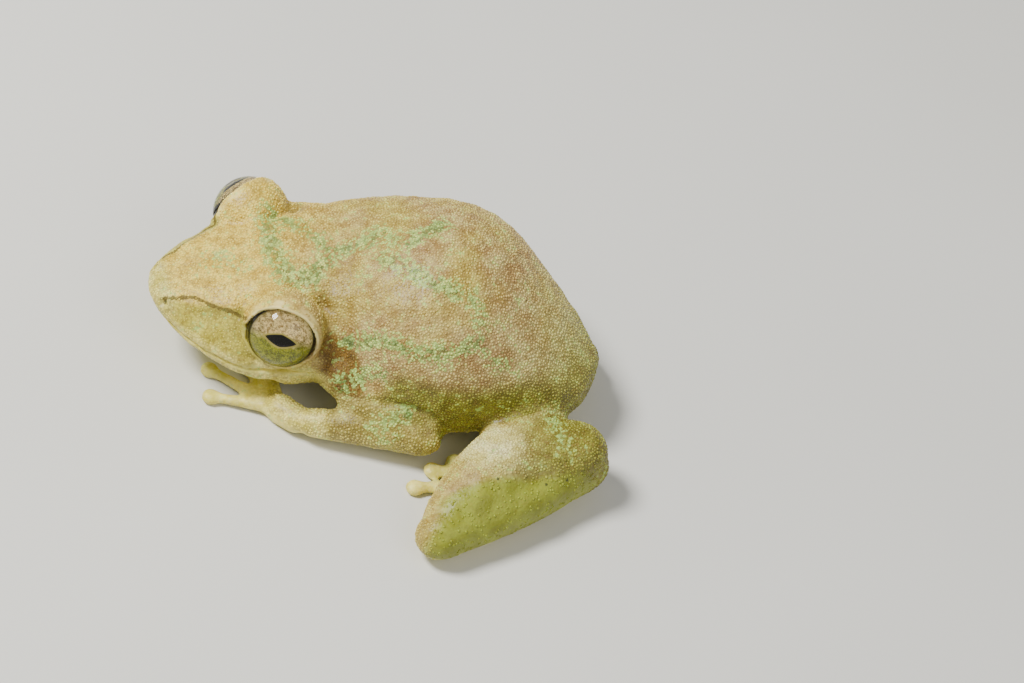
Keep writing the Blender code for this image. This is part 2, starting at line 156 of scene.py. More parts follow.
class Field:
    """One output of a shader node, with which sums are written as on plain numbers."""

    def __init__(self, socket):
        self.socket = socket

    def node(self, kind, settings=None, inputs=None, output=0):
        """Adds a node: its settings first, then the values or links of its sockets."""
        tree = self.socket.id_data
        made = tree.nodes.new(kind)
        for name, value in (settings or {}).items():
            setattr(made, name, value)
        for name, value in (inputs or {}).items():
            if isinstance(value, Field):
                tree.links.new(value.socket, made.inputs[name])
            else:
                made.inputs[name].default_value = value
        return Field(made.outputs[output])

    def maths(self, operation, *values):
        return self.node("ShaderNodeMath", {"operation": operation}, dict(enumerate(values)))

    def __add__(self, other):
        return self.maths("ADD", self, other)

    def __sub__(self, other):
        return self.maths("SUBTRACT", self, other)

    def __rsub__(self, other):
        return self.maths("SUBTRACT", other, self)

    def __mul__(self, other):
        return self.maths("MULTIPLY", self, other)

    def larger(self, other):
        return self.maths("MAXIMUM", self, other)

    def part(self, index):
        """The first, second or third number of a place."""
        return self.node("ShaderNodeSeparateXYZ", None, {"Vector": self}, index)

    def rise(self, start, end):
        """0 below start, 1 above end, smooth between."""
        settings = {"interpolation_type": "SMOOTHSTEP", "clamp": True}
        return self.node("ShaderNodeMapRange", settings,
                         {"Value": self, "From Min": start, "From Max": end})

    def mix(self, low, high):
        """The first colour where this is 0, the second where it is 1."""
        settings = {"data_type": "RGBA", "clamp_factor": True}
        low, high = [end if isinstance(end, Field) else (*end, 1.0) for end in (low, high)]
        return self.node("ShaderNodeMix", settings, {0: self, 6: low, 7: high}, output=2)

    def tone(self, name):
        """The darker tone of a pair where this is 0, the lighter one where it is 1."""
        return self.mix(*TONES[name])

    def noise(self, scale, detail=3.0, roughness=0.5, distortion=0.0):
        return self.node("ShaderNodeTexNoise", None, {
            "Vector": self, "Scale": scale, "Detail": detail, "Roughness": roughness,
            "Distortion": distortion})

    def cells(self, scale, output=0):
        return self.node("ShaderNodeTexVoronoi", None, {"Vector": self, "Scale": scale}, output)

    def attribute(self, name, output=2):
        return self.node("ShaderNodeAttribute", {"attribute_name": name}, None, output)


def new_material(name, **constants):
    """A material, its main shader and the object's own coordinates."""
    material = bpy.data.materials.new(name)
    material.use_nodes = True
    tree = material.node_tree
    shader = tree.nodes["Principled BSDF"]
    for socket, value in constants.items():
        shader.inputs[socket.replace("_", " ")].default_value = value
    place = Field(tree.nodes.new("ShaderNodeTexCoord").outputs["Object"])
    return material, shader, place


def wire(value, shader, socket):
    shader.id_data.links.new(value.socket, shader.inputs[socket])


# The floor: a pale, matt sheet that the model stands on. It is no part of the model, and it is
# wide enough to fill the outlook.

FLOOR_METRES = 6.0
FLOOR_TONES = ((0.66, 0.66, 0.63), (0.69, 0.69, 0.66))


def make_floor():
    mesh = bmesh.new()
    bmesh.ops.create_grid(mesh, x_segments=1, y_segments=1, size=FLOOR_METRES / 2)
    data = bpy.data.meshes.new("floor")
    mesh.to_mesh(data)
    mesh.free()
    material, shader, place = new_material("floor_paper", Roughness=0.9)
    tint = place.noise(30.0, 2.0).rise(0.3, 0.7)
    wire(tint.mix(*FLOOR_TONES), shader, "Base Color")
    data.materials.append(material)
    add_object("floor", data)


make_floor()


# The skin: one closed, moist skin over the whole body. The parts of the body are taken together
# as a distance field, the clefts between them are closed, and the field is smoothed and pushed
# out or in where the live animal has lips, lids, nostrils, a canthal edge and folds.

VOXEL = 0.148
BAND = 9
CLOSING = 0.21
CHIN_CLEARANCE = (-5.47, -0.97, 0.78)
CHIN_OPENING = (0.7, 1.1)
TRUNK_SOFTENING = 7
DIGIT_HEIGHT = (0.9, 1.8)
WORKED_DEPTH = 0.9
SLOPE_STEP = 0.02
LONGEST_MOVE = 0.08
MARGIN = 1.5
FLESH = [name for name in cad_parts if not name.startswith("eye_")]
flesh_boxes = np.array([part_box(name) for name in FLESH]) * MM
low_corner = flesh_boxes[:, 0].min(axis=0) - MARGIN
field_size = np.ceil((flesh_boxes[:, 1].max(axis=0) + MARGIN - low_corner) / VOXEL).astype(int)


def rise(values, start, end):
    share = np.clip((values - start) / (end - start), 0.0, 1.0)
    return share * share * (3.0 - 2.0 * share)


def level_set(points, faces):
    transform = openvdb.createLinearTransform(voxelSize=VOXEL)
    return openvdb.FloatGrid.createLevelSetFromPolygons(
        (points - low_corner).astype(np.float32), triangles=faces.astype(np.uint32),
        transform=transform, halfWidth=BAND)


def triangles_of(obj):
    mesh = obj.data
    mesh.calc_loop_triangles()
    points = np.empty(len(mesh.vertices) * 3, np.float32)
    mesh.vertices.foreach_get("co", points)
    faces = np.empty(len(mesh.loop_triangles) * 3, np.int32)
    mesh.loop_triangles.foreach_get("vertices", faces)
    return points.reshape(-1, 3) * MM, faces.reshape(-1, 3)


def field_of(grid):
    values = np.zeros(field_size, np.float32)
    grid.copyToArray(values)
    return values


def flesh_field():
    """Distance to the flesh, negative inside, its clefts closed except between chin and hand."""
    all_points, all_faces, start = [], [], 0
    for name in FLESH:
        points, faces = triangles_of(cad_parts[name])
        all_points.append(points)
        all_faces.append(faces + start)
        start += len(points)
    grid = level_set(np.concatenate(all_points), np.concatenate(all_faces))
    apart = field_of(grid)
    points, quads = grid.convertToQuads(CLOSING)
    faces = np.concatenate([quads[:, [0, 1, 2]], quads[:, [0, 2, 3]]])
    closed = field_of(level_set(np.asarray(points) + low_corner, faces)) + CLOSING
    places = low_corner + np.moveaxis(np.indices(field_size), 0, -1) * VOXEL
    open_here = 1 - rise(np.linalg.norm(places - CHIN_CLEARANCE, axis=-1), *CHIN_OPENING)
    return closed * (1 - open_here) + apart * open_here


def soften(values, rounds):
    for _ in range(rounds):
        for axis in range(3):
            near = np.roll(values, 1, axis)
            far = np.roll(values, -1, axis)
            values = 0.25 * near + 0.5 * values + 0.25 * far
    return values


def sample(values, points):
    """The field at any places, from the eight nearest grid points."""
    at = (points - low_corner) / VOXEL
    at = np.clip(at, 0.0, field_size - 1.001)
    corner = at.astype(int)
    part = at - corner
    total = np.zeros(len(points))
    for step in np.ndindex(2, 2, 2):
        weight = np.prod(np.where(step, part, 1.0 - part), axis=1)
        i, j, k = (corner + step).T
        total += weight * values[i, j, k]
    return total


# Where the head's forms lie, in the head's own axes. A groove is the depth and width of its bed,
# then the height, distance and width of the roll beside it.

LID_FORWARD = math.radians(26.0)
LID_UPWARD = math.radians(8.0)
LID_REACH = 2.1
LID_PLANE = 0.62
LID_NARROWING = 0.08
LID_SLIMMING = 0.5
LID_SPAN = 3.4
LID_EDGE = 0.1
LID_FILLET = 0.5
LID_MARGIN = (0.05, 0.06)
EYE_GAP = 0.03
FLESH_LID_RADIUS = 2.63
EYE_HOLLOW = 1.92
MOUTH_COURSE = ((-6.4, -1.78), (-4.8, -2.12), (-2.0, -2.52), (1.6, -2.35), (2.2, -2.2))
MOUTH_CORNER = 1.9
MOUTH_GROOVE = (0.15, 0.075, 0.05, 0.3, 0.2)
NAPE_FILL = (2.4, 4.0, -0.65)
NAPE_RADIUS = 0.95
NAPE_FILLET = 0.7
NAPE_CREASE = ((1.3, 2.5, 1.0), (1.5, 2.8, 0.75), (1.8, 3.3, 0.4), (2.1, 3.9, 0.3))
CREASE_RADIUS = 0.12
CREASE_FILLET = 0.5
NOSTRIL = (-5.78, 1.26, -1.10)
NOSTRIL_WIDTH = 0.17
NOSTRIL_PIT = (0.34, NOSTRIL_WIDTH, 0.06, 0.36, 0.11)
ARM_FOLD = ((-1.7, -1.0, 0.1), (-1.0, -1.2, 0.2), (-0.25, -1.29, 0.36), (0.45, -1.19, 0.56),
            (1.15, -1.09, 0.66), (2.25, -0.99, 0.76), (3.35, -0.89, 0.66), (4.1, -0.89, -0.04),
            (4.3, -1.09, -0.84))
ARM_GROOVE = (0.15, 0.17, 0.05, 0.5, 0.25)
CANTHUS = ((-5.5, 1.3, -0.75), (-4.4, 1.95, -0.45), (-3.2, 2.45, -0.05), (-2.1, 2.8, 0.25))
CANTHUS_HEIGHT = 0.09
CANTHUS_WIDTH = 0.4
SWELL_HEIGHT = 0.018
SWELL_LENGTH = 1.3
SWELL_WAVES = 20
SWELL_SEED = 4


def outward(side, forward, upward):
    """The direction in which an eye or its lids face."""
    level = math.cos(upward)
    local = (-math.sin(forward) * level, SIDES[side] * math.cos(forward) * level,
             math.sin(upward))
    return head_turn @ np.array(local)


lid_ways = {side: outward(side, LID_FORWARD, LID_UPWARD) for side in eye_middles}


def smooth_low(a, b, round_by):
    """The smaller of two distances, with a fillet where they meet."""
    share = np.clip(0.5 + 0.5 * (b - a) / round_by, 0.0, 1.0)
    return b * (1 - share) + a * share - round_by * share * (1 - share)


def smooth_high(a, b, round_by):
    return -smooth_low(-a, -b, round_by)


def bump(distance, width):
    return np.exp(-((distance / width) ** 2))


def groove(distance, depth, width, roll, roll_at, roll_width):
    """How far the skin sinks along a line; negative where it swells beside it."""
    return depth * bump(distance, width) - roll * bump(distance - roll_at, roll_width)


def to_line(points, course):
    """Distance from each place to a course of straight lengths."""
    course = np.asarray(course, float)
    nearest = np.full(len(points), np.inf)
    for a, b in zip(course[:-1], course[1:]):
        share = np.clip((points - a) @ (b - a) / np.linalg.norm(b - a) ** 2, 0.0, 1.0)
        distance = np.linalg.norm(points - a - share[:, None] * (b - a), axis=1)
        nearest = np.minimum(nearest, distance)
    return nearest


def mirrored(course, sign):
    """Places with their second number turned over where the sign is negative."""
    return np.array(course) * (1, sign, 1)


def to_nostril(head, sign):
    return np.linalg.norm(head - mirrored(NOSTRIL, sign), axis=1)


def above_mouth(head):
    """Height over the line of the mouth."""
    course = np.array(MOUTH_COURSE)
    return head[:, 2] - np.interp(head[:, 0], course[:, 0], course[:, 1])


def waves(points, wavelength, count, seed):
    """A smooth, random, repeatable swell between about -1 and 1."""
    random = np.random.default_rng(seed)
    total = np.zeros(len(points))
    for _ in range(count):
        way = random.normal(size=3)
        way *= 2 * math.pi / (wavelength * random.uniform(0.7, 1.5)) / np.linalg.norm(way)
        total += np.sin(points @ way + random.uniform(0.0, 2 * math.pi))
    return total * math.sqrt(2.0 / count)


def beside(points, node, side):
    """Places from a limb's middle, as if the limb were on the left."""
    return mirrored(points - middle_of(f"{node}_{side}"), -SIDES[side])


def shaped(points, values):
    """The body's field with the lips, lids, nostrils and folds worked into it."""
    head = in_head(points)
    for side, sign in SIDES.items():
        off = points - eye_middles[side]
        distance = np.linalg.norm(off, axis=1)
        outer = off @ lid_ways[side]
        upper = off @ head_turn[:, 2] / np.maximum(distance, 1e-6)
        around = np.sqrt(np.maximum(distance**2 - outer**2, 1e-6))
        lengthwise = off @ np.cross(lid_ways[side], head_turn[:, 2])
        plane = LID_PLANE + LID_NARROWING * (1 - np.clip(lengthwise / around, -1, 1) ** 2)
        lid = smooth_high(distance - LID_REACH, outer - plane, LID_EDGE)
        values = smooth_low(values, lid, LID_FILLET)
        ring = np.sqrt((EYE_RADIUS + EYE_GAP) ** 2 - plane**2)
        tube = np.hypot(around - ring, outer - plane + 0.02)
        thick = LID_MARGIN[0] + LID_MARGIN[1] * rise(upper, -0.2, 0.45)
        values = smooth_low(values, tube - thick, LID_EDGE)
        values = values + groove(to_nostril(head, sign), *NOSTRIL_PIT)
        nape = np.linalg.norm(head - mirrored(NAPE_FILL, sign), axis=1)
        values = smooth_low(values, nape - NAPE_RADIUS, NAPE_FILLET)
        crease = to_line(head, mirrored(NAPE_CREASE, sign))
        values = smooth_low(values, crease - CREASE_RADIUS, CREASE_FILLET)
        canthus = to_line(head, mirrored(CANTHUS, sign))
        values = values - CANTHUS_HEIGHT * bump(canthus, CANTHUS_WIDTH)
        fold = to_line(beside(points, "upper_arm", side), ARM_FOLD)
        values = values + groove(fold, *ARM_GROOVE)
    in_front = 1 - rise(head[:, 0], MOUTH_CORNER - 0.5, MOUTH_CORNER + 0.3)
    values = values + in_front * groove(above_mouth(head), *MOUTH_GROOVE)
    swell = waves(points, SWELL_LENGTH, SWELL_WAVES, SWELL_SEED)
    values = values - SWELL_HEIGHT * swell * rise(points[:, 2], 0.3, 1.5)
    for middle in eye_middles.values():
        values = np.maximum(values, EYE_HOLLOW - np.linalg.norm(points - middle, axis=1))
    return np.maximum(values, -points[:, 2])


def slimmed_lids(values):
    """The flesh pared down behind and above the eyes, where the lids hug the eyeballs."""
    values = values.copy()
    for side, middle in eye_middles.items():
        low = ((middle - LID_SPAN - low_corner) / VOXEL).astype(int)
        high = ((middle + LID_SPAN - low_corner) / VOXEL).astype(int)
        part = tuple(slice(a, b) for a, b in zip(low, high))
        places = np.moveaxis(np.indices(high - low), 0, -1) + low
        off = (low_corner + places * VOXEL - middle) @ head_turn
        distance = np.linalg.norm(off, axis=-1)
        behind, aside, above = np.moveaxis(off / np.maximum(distance, 1e-6)[..., None], -1, 0)
        lift = rise(above, -0.15, 0.4)
        rear = rise(behind, -0.1, 0.5) * rise(above, -0.6, 0.0)
        inner = 1 - rise(-SIDES[side] * aside, 0.35, 0.8)
        near = rise(distance, 1.9, 2.2) * (1 - rise(distance, 2.7, 3.2))
        buried = rise(distance - FLESH_LID_RADIUS - values[part], 0.05, 0.45)
        values[part] += LID_SLIMMING * np.maximum(lift, rear) * inner * near * (1 - buried)
    return values


def body_field():
    """The flesh as a field, smoother on the trunk than on the digits, which are thin."""
    sharp = soften(flesh_field(), 1)
    smooth = soften(slimmed_lids(sharp), TRUNK_SOFTENING)
    levels = low_corner[2] + np.arange(field_size[2]) * VOXEL
    share = rise(levels, *DIGIT_HEIGHT)
    return sharp * (1 - share) + smooth * share


base_field = body_field()


def skin_field(points):
    return shaped(points, sample(base_field, points))


def largest_piece(mesh):
    """Removes every closed surface of the bmesh but the largest, such as hidden hollows."""
    mesh.faces.ensure_lookup_table()
    label = np.full(len(mesh.faces), -1)
    count = 0
    for face in mesh.faces:
        if label[face.index] >= 0:
            continue
        stack = [face]
        label[face.index] = count
        while stack:
            for edge in stack.pop().edges:
                for other in edge.link_faces:
                    if label[other.index] < 0:
                        label[other.index] = count
                        stack.append(other)
        count += 1
    most = np.bincount(label).argmax()
    extra = [face for face in mesh.faces if label[face.index] != most]
    bmesh.ops.delete(mesh, geom=extra, context="FACES")


def settle(points, rounds):
    """Moves places onto the skin's surface, along the field's slope."""
    for _ in range(rounds):
        value = skin_field(points)
        slope = np.stack([
            (skin_field(points + axis) - skin_field(points - axis)) / (2 * SLOPE_STEP)
            for axis in np.eye(3) * SLOPE_STEP
        ], axis=1)
        length = np.maximum((slope**2).sum(axis=1), 0.25)
        move = -slope * (value / length)[:, None]
        points = points + np.clip(move, -LONGEST_MOVE, LONGEST_MOVE)
    points[:, 2] = np.maximum(points[:, 2], 0.0)
    return points


def halve(mesh, chosen):
    """Halves the faces whose middles are chosen, and closes the faces beside them."""
    mesh.faces.ensure_lookup_table()
    centres = np.array([face.calc_center_median() for face in mesh.faces])
    edges = {edge for i in np.flatnonzero(chosen(centres)) for edge in mesh.faces[i].edges}
    bmesh.ops.subdivide_edges(mesh, edges=list(edges), cuts=1, use_grid_fill=True)
    odd = [face for face in mesh.faces if len(face.verts) > 4]
    bmesh.ops.triangulate(mesh, faces=odd)


FINE_ROUND_EYE = ((2.4, 0.2), (2.12, -0.35))
FINE_ROUND_NOSTRIL = 0.6
FINE_BY_MOUTH = 0.17
FINE_MARGIN = (1.85, 2.2)
FINE_MARGIN_BREADTH = 0.22


def fine_forms(centres):
    """Round the eyes and the nostrils and along the mouth."""
    head = in_head(centres)
    fine = np.zeros(len(centres), bool)
    for side, middle in eye_middles.items():
        off = centres - middle
        distance = np.linalg.norm(off, axis=1)
        outer = off @ lid_ways[side]
        for reach, least in FINE_ROUND_EYE:
            fine |= (distance < reach) & (outer > least)
        fine |= to_nostril(head, SIDES[side]) < FINE_ROUND_NOSTRIL
    by_mouth = np.abs(above_mouth(head)) < FINE_BY_MOUTH
    return fine | (by_mouth & (head[:, 0] < MOUTH_CORNER + 0.3))


def lid_margins(centres):
    chosen = np.zeros(len(centres), bool)
    for side, middle in eye_middles.items():
        off = centres - middle
        outer = off @ lid_ways[side]
        distance = np.linalg.norm(off, axis=1)
        chosen |= ((np.abs(outer - LID_PLANE) < FINE_MARGIN_BREADTH)
                   & (distance > FINE_MARGIN[0]) & (distance < FINE_MARGIN[1]))
    return chosen


def make_skin_mesh():
    values = base_field.copy()
    near = np.nonzero(np.abs(values) < WORKED_DEPTH)
    places = low_corner + np.stack(near, axis=1) * VOXEL
    values[near] = shaped(places, values[near])
    grid = openvdb.FloatGrid(BAND * VOXEL)
    grid.copyFromArray(values)
    grid.transform = openvdb.createLinearTransform(voxelSize=VOXEL)
    points, quads = grid.convertToQuads(0.0)
    data = bpy.data.meshes.new("skin")
    data.from_pydata((np.asarray(points) + low_corner).tolist(), [], quads.tolist())
    mesh = bmesh.new()
    mesh.from_mesh(data)
    largest_piece(mesh)
    bmesh.ops.recalc_face_normals(mesh, faces=mesh.faces)
    halve(mesh, fine_forms)
    halve(mesh, lid_margins)
    mesh.to_mesh(data)
    mesh.free()
    return data


def vertex_places(data):
    flat = np.empty(len(data.vertices) * 3)
    data.vertices.foreach_get("co", flat)
    return flat.reshape(-1, 3)


skin_mesh = make_skin_mesh()
skin_places = settle(vertex_places(skin_mesh), 4)


# Markings, by place: jade bands on the back, a dark line along the canthus, rust behind the eye.
# Each has its course over the skin, its half width and its strength.

GREEN_BANDS = (
    (((-8.0, 3.4, 6.7), (-7.7, 1.8, 6.7), (-7.2, 1.0, 6.7), (-6.4, -0.1, 6.8),
      (-6.0, -0.6, 6.8), (-4.9, -0.2, 6.8)), 0.5, 1.0),
    (((-7.4, 3.2, 6.8), (-6.4, 3.0, 6.9), (-5.3, 2.6, 7.0), (-4.6, 1.9, 7.1)), 0.35, 0.9),
    (((-4.9, -0.2, 6.8), (-4.5, 0.7, 6.9), (-4.1, 1.7, 7.1), (-3.3, 2.2, 7.5),
      (-2.4, 2.4, 8.2), (-2.4, 3.1, 8.2)), 0.42, 1.0),
    (((-2.4, 3.1, 8.2), (-1.4, 2.2, 8.8), (-0.5, 2.2, 9.2)), 0.4, 0.75),
    (((-0.5, 2.2, 9.2), (0.4, 3.2, 9.6), (0.8, 3.5, 9.7)), 0.5, 1.0),
    (((-1.5, 1.2, 8.4), (-0.7, 0.8, 8.8), (0.1, 0.3, 9.0), (0.9, -0.1, 9.1),
      (1.6, -0.1, 9.1), (2.5, -0.2, 9.1)), 0.45, 0.95),
    (((3.5, -0.1, 8.8), (4.0, -0.5, 8.5), (4.2, -0.9, 8.1)), 0.3, 0.9),
    (((-10.2, -0.3, 5.8), (-9.7, 0.0, 6.0), (-8.8, -0.3, 6.2)), 0.45, 0.5),
    (((-2.6, 0.1, 7.6), (-2.2, -0.1, 7.8)), 0.25, 0.6),
    (((9.3, -1.4, 3.6), (9.7, -2.6, 4.0), (10.0, -3.4, 4.2)), 0.35, 0.6),
)
SIDE_BANDS = (
    (((-1.9, -2.3, 5.4), (-0.2, -2.7, 6.5), (0.6, -2.8, 6.7), (1.5, -2.9, 6.6),
      (2.2, -2.9, 6.8), (2.9, -2.6, 7.0), (3.6, -2.4, 7.0), (4.1, -1.9, 7.4),
      (4.5, -1.6, 7.3)), 0.36, 1.0),
    (((4.5, -1.6, 7.3), (4.9, -1.7, 7.0), (5.3, -1.8, 6.6), (6.1, -1.4, 6.3)), 0.3, 0.8),
    (((-1.7, -3.7, 3.3), (-1.6, -3.5, 3.7), (-0.7, -3.2, 4.2), (0.2, -3.3, 5.1)), 0.32, 0.9),
    (((1.3, -4.4, 2.5), (1.6, -4.2, 2.9), (2.0, -3.9, 3.2)), 0.4, 0.8),
    (((0.4, -4.7, 2.3), (1.6, -5.0, 2.2)), 0.4, 0.6),
)
EYE_STRIPE = ((-3.2, -1.8, 4.6), (-2.6, -1.9, 5.2), (-1.8, -2.4, 5.3))
RUST_BAND = ((-3.5, -2.0, 4.7), (-3.0, -2.2, 4.6), (-2.5, -2.4, 4.5), (-1.7, -2.8, 4.3),
             (-2.2, -3.4, 3.8), (-1.3, -3.6, 3.6))
# Where the neck folds in behind each eye: the course of a painted shade.
NECK_SHADE = ((-3.8, -0.7, 6.1), (-3.3, -1.1, 5.5), (-3.0, -1.7, 4.9))
CANTHAL_LINE = ((-11.7, -2.7, 4.7), (-11.4, -2.8, 5.0), (-10.9, -2.7, 5.1),
                (-10.3, -2.6, 5.4), (-9.3, -2.8, 5.4), (-8.8, -2.9, 5.5), (-8.2, -2.9, 5.5),
                (-7.7, -2.9, 5.4), (-7.2, -3.4, 5.9))
FAR_CANTHAL_DROP = 0.4
CANTHAL_EDGE = ((-6.0, -5.3, -3.9, -1.6), (-1.1, -0.6, -0.15, 0.4))
KNEE_PATCH = (6.6, -4.7, 3.5)
LEG_OUTWARD = (0.527, -0.85, 0.0)
FLECKS = ((6.2, -4.6, 3.6), (6.5, -5.9, 3.9), (7.5, -6.2, 3.9), (7.4, -6.8, 3.7),
          (9.9, -5.6, 3.0), (10.9, -4.8, 2.9), (12.7, -2.9, 2.8), (6.2, 1.8, 7.9),
          (2.1, -0.7, 8.8))
FLECK_RADIUS = 0.13
TRUNK_REACH = (-3.0, 12.0)


def stroke(points, course, half_width, soft):
    return 1 - rise(to_line(points, course), half_width - soft, half_width + soft)


def trunk_sides():
    """Steps along the trunk, with its left and its right side at each."""
    places, _ = triangles_of(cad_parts["torso"])
    steps = np.arange(*TRUNK_REACH)
    rows = [places[np.abs(places[:, 0] - step) < 0.6, 1] for step in steps]
    return steps, np.array([row.min() for row in rows]), np.array([row.max() for row in rows])


trunk_steps, trunk_left, trunk_right = trunk_sides()


def beyond_trunk(points):
    """How far each place lies outside the trunk's side; negative on the trunk."""
    left = np.interp(points[:, 0], trunk_steps, trunk_left)
    right = np.interp(points[:, 0], trunk_steps, trunk_right)
    return np.abs(points[:, 1] - (left + right) / 2) - (right - left) / 2


def far_side(course):
    course = np.array(course)
    course[:, 1] = np.interp(course[:, 0], trunk_steps, trunk_left + trunk_right) - course[:, 1]
    return course


def on_both_sides(head, course, half_width, soft):
    """A stroke that is fixed to the head, on the near and the far side."""
    near = in_head(np.array(course))
    return np.maximum(stroke(head, near, half_width, soft),
                      stroke(head, mirrored(near, -1.0), half_width, soft))


def green_mask(points):
    """The bands of the back, and those of the near side on both sides."""
    green = np.zeros(len(points))
    for course, half_width, strength in GREEN_BANDS:
        green = np.maximum(green, strength * stroke(points, course, half_width + 0.1, 0.45))
    for course, half_width, strength in SIDE_BANDS:
        for line in (course, far_side(course)):
            green = np.maximum(green, strength * stroke(points, line, half_width + 0.1, 0.4))
    return green


def fleck_and_nostril_shade_mask(points, head):
    """The small dark flecks on leg and back, and painted shade in the nostrils."""
    fleck_and_nostril_shade = np.zeros(len(points))
    for place in FLECKS:
        fleck_and_nostril_shade = np.maximum(fleck_and_nostril_shade, bump(np.linalg.norm(points - place, axis=1), FLECK_RADIUS))
    for sign in SIDES.values():
        # Painted shade in the nostril pits.
        fleck_and_nostril_shade = np.maximum(fleck_and_nostril_shade, 1.6 * bump(to_nostril(head, sign), NOSTRIL_WIDTH))
    return fleck_and_nostril_shade


def head_masks(points, head):
    """Head marks: canthal line, cheek and lips, and painted shade on the neck and under the
    ridge.
    """
    canthal = np.zeros(len(points))
    for sign, drop in ((1.0, 0.0), (-1.0, FAR_CANTHAL_DROP)):
        line = mirrored(in_head(np.array(CANTHAL_LINE)), sign) - (0, 0, drop)
        line = settle(line @ head_turn.T + head_origin, 8)
        canthal = np.maximum(canthal, stroke(points, line, 0.125, 0.12))
    under_edge = np.interp(head[:, 0], *CANTHAL_EDGE) - head[:, 2]
    loreal = (1 - rise(head[:, 0], -1.6, 0.4)) * rise(under_edge, -0.05, 0.25)
    shadow = (1 - rise(under_edge, 0.2, 1.0)) * rise(head[:, 0], -5.2, -3.6)
    lips = (1 - rise(above_mouth(head), 0.25, 0.9)) * (1 - rise(head[:, 0], 1.5, 3.0))
    tip = 1 - rise(head[:, 0], -5.9, -4.7)
    return {
        "rust": on_both_sides(head, RUST_BAND, 0.9, 0.6) * rise(points[:, 2], 2.6, 3.3),
        "stripe": on_both_sides(head, EYE_STRIPE, 0.14, 0.12),
        "painted_neck_shade": on_both_sides(head, NECK_SHADE, 0.6, 0.6),
        "canthal": canthal,
        "loreal": loreal,
        "ridge_shadow": loreal * shadow,
        "pale": np.maximum(lips * 0.85, tip * 0.95),
    }


def limb_masks(points):
    """Plainer or more olive arms, shanks, flanks and rump, painted shade in the arm fold, the
    knee.
    """
    behind, height = points[:, 0], points[:, 2]
    aside = beyond_trunk(points)
    trunk = 1 - rise(aside, 0.15, 0.7)
    arm, fold, shank = np.zeros((3, len(points)))
    for side in SIDES:
        local = beside(points, "upper_arm", side)
        course = np.array(ARM_FOLD)
        above = local[:, 2] - np.interp(local[:, 0], course[:, 0], course[:, 2])
        upper_arm = (1 - rise(above, -0.15, 0.1)) * (1 - rise(local[:, 0], 4.1, 4.4))
        upper_arm *= rise(-local[:, 1], 0.3, 0.8) * rise(height, 0.4, 1.0)
        arm = np.maximum(arm, upper_arm)
        # Painted shade in the fold between flank and upper arm, laid in as olive.
        fold = np.maximum(fold, stroke(local, ARM_FOLD, 0.25, 0.25) * (1 - upper_arm))
        local = beside(points, "shank", side)
        lower_leg = rise(local @ LEG_OUTWARD, -0.6, 0.4) * (local[:, 1] < 3.5)
        shank = np.maximum(shank, lower_leg)
    flank = rise(behind, -0.5, 1.5) * trunk * (1 - rise(height, 4.0, 6.8))
    flank *= 1 - 0.35 * rise(behind, 7.0, 10.5)
    rump = rise(behind, 8.4, 11.6) * trunk * 0.8
    heel = rise(behind, 5.5, 10.5) * (1 - trunk) * 0.85
    return {
        "arm": arm,
        "shank": shank * rise(behind, 4.0, 6.0) * rise(aside, 0.3, 0.9),
        "olive_and_fold_shade": np.maximum.reduce([flank, rump, heel, 0.8 * fold]),
        # The pale knee: partly its own cream, partly painted light.
        "knee_cream_and_highlight": 1 - rise(np.linalg.norm(points - KNEE_PATCH, axis=1), 0.9, 2.2),
    }


def lid_masks(points):
    """The bare margins of the lids, and the bright rims of the upper ones."""
    bare, rim = np.zeros((2, len(points)))
    for side, middle in eye_middles.items():
        off = points - middle
        distance = np.linalg.norm(off, axis=1)
        margin = (1 - rise(distance, 2.05, 2.13)) * rise(off @ lid_ways[side], 0.2, 0.45)
        bare = np.maximum(bare, margin)
        rim = np.maximum(rim, margin * rise(off @ head_turn[:, 2] / distance, 0.05, 0.4))
    return bare, rim


def mark_skin(data, points):
    """Stores every mark on the mesh, and where its granules stand and how big they are."""
    normals = np.empty(len(points) * 3)
    data.vertices.foreach_get("normal", normals)
    downward = -normals.reshape(-1, 3)[:, 2]
    height = points[:, 2]
    head = in_head(points)
    masks = {"green": green_mask(points), "fleck_and_nostril_shade": fleck_and_nostril_shade_mask(points, head)}
    masks.update(head_masks(points, head))
    masks.update(limb_masks(points))
    bare, masks["rim"] = lid_masks(points)
    under = rise(downward, 0.15, 0.75) * (1 - rise(height, 2.0, 3.2))
    digits = 1 - rise(height, 0.5, 1.3)
    masks["pale"] = np.maximum.reduce([masks["pale"], under, digits])
    grain = (1 - bare) * (1 - 0.9 * under) * rise(height, 0.5, 1.2)
    grain *= 1 - bump(above_mouth(head), 0.2) * (head[:, 0] < MOUTH_CORNER)
    masks["grain"] = grain * (1 - 0.75 * masks["shank"])
    smaller = 0.32 * masks["loreal"] + 0.12 * (1 - rise(head[:, 0], 0.5, 3.0))
    masks["granule_size"] = 1 - smaller
    for name, values in masks.items():
        layer = data.attributes.new(name, "FLOAT", "POINT")
        layer.data.foreach_set("value", np.asarray(values, np.float32))


skin_mesh.vertices.foreach_set("co", (skin_places / MM).ravel())
skin_mesh.shade_smooth()
skin_mesh.update()
mark_skin(skin_mesh, skin_places)
